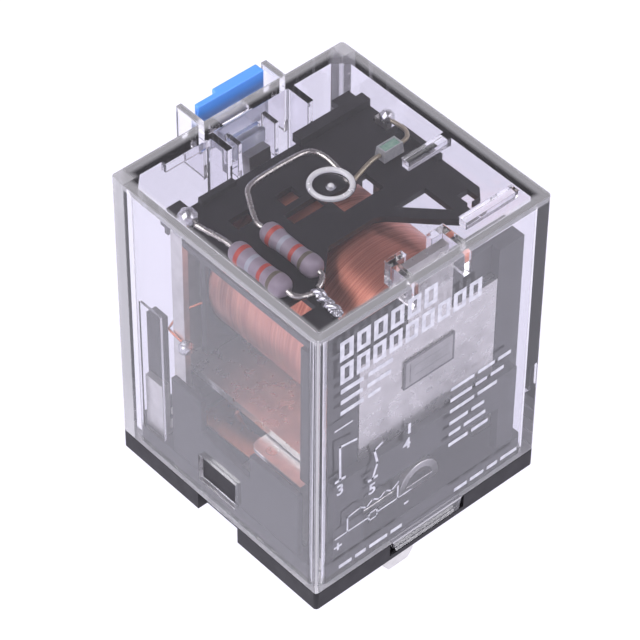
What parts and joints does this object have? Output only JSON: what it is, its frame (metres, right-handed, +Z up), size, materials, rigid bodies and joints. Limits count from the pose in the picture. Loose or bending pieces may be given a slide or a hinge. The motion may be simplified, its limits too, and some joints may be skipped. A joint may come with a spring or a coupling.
{
  "type": "plug-in relay",
  "caption": "Square plug-in power relay with a clear cover, horizontal coil, make and break contacts, test button, indicator and flat plug blades.",
  "frame": {"origin": "centre of the seating face, the underside of the base rim that meets the socket", "axes": "+Z up from the seating face towards the cover's roof, -Y out of the printed face, +Y out of the test-button face, +X to the right when looking at the printed face"},
  "size_m": [0.0344, 0.0385, 0.0531],
  "materials": {
    "clear_cover": "clear polycarbonate, polished, slightly milky with internal reflections",
    "black_plastic": "fine moulded satin black",
    "copper_winding": "enamelled copper wire, satin",
    "soft_iron": "plated iron, satin",
    "plated_steel": "zinc-plated sheet steel, satin with stamping marks",
    "copper_alloy": "rolled copper alloy, satin",
    "contact_silver": "silver alloy, satin",
    "tinned_brass": "tin-plated brass, satin",
    "spring_steel": "drawn steel wire",
    "ferrite": "sintered ferrite, matt grey-black",
    "resistor_coating": "lilac-grey lacquer with colour bands",
    "tinned_wire": "tinned copper wire, bright",
    "indicator_lens": "pale green translucent epoxy",
    "solder": "solder, bright and lumpy",
    "blue_plastic": "moulded bright blue, satin gloss"
  },
  "bodies": {
    "root": {"cover": "clear_cover", "base": "black_plastic", "bobbin": "black_plastic", "top_plate": "black_plastic", "coil_winding": "copper_winding", "core": "soft_iron", "yoke": "plated_steel", "no_fixed_contact": "contact_silver", "nc_fixed_contact": "contact_silver", "no_fixed_terminal": "tinned_brass", "nc_fixed_terminal": "tinned_brass", "no_common_terminal": "tinned_brass", "nc_common_terminal": "tinned_brass", "coil_terminal_a": "tinned_brass", "coil_terminal_b": "tinned_brass", "no_braid": "copper_alloy", "nc_braid": "copper_alloy", "return_spring": "spring_steel", "arc_magnet": "ferrite", "resistor_1": "resistor_coating", "resistor_2": "resistor_coating", "resistor_1_leads": "tinned_wire", "resistor_2_leads": "tinned_wire", "indicator_led": "indicator_lens", "indicator_lead": "tinned_wire", "coil_wire_a": "copper_winding", "coil_wire_b": "copper_winding", "solder_joints": "solder"},
    "armature": {"armature": "plated_steel", "moving_block": "black_plastic", "block_rivets": "soft_iron", "no_contact_spring": "copper_alloy", "nc_contact_spring": "copper_alloy", "no_moving_contact": "contact_silver", "nc_moving_contact": "contact_silver"},
    "test_button": {"test_button": "blue_plastic"}
  },
  "joints": [
    {"name": "armature_pivot", "type": "hinge", "parent": "root", "child": "armature", "pos_m": [0.0012, 0.0115, 0.01555], "axis": [1, 0, 0], "range_deg": [0, 4.5], "stiffness_Nm_per_rad": 0.02, "springref_deg": -5.73, "deforming": ["return_spring"]},
    {"name": "test_button_press", "type": "slide", "parent": "root", "child": "test_button", "axis": [0, -1, 0], "range_m": [0, 0.0018]}
  ],
  "couplings": [
    {"joint": "test_button_press", "follows": "armature_pivot", "m_per_rad": 0.0225}
  ]
}
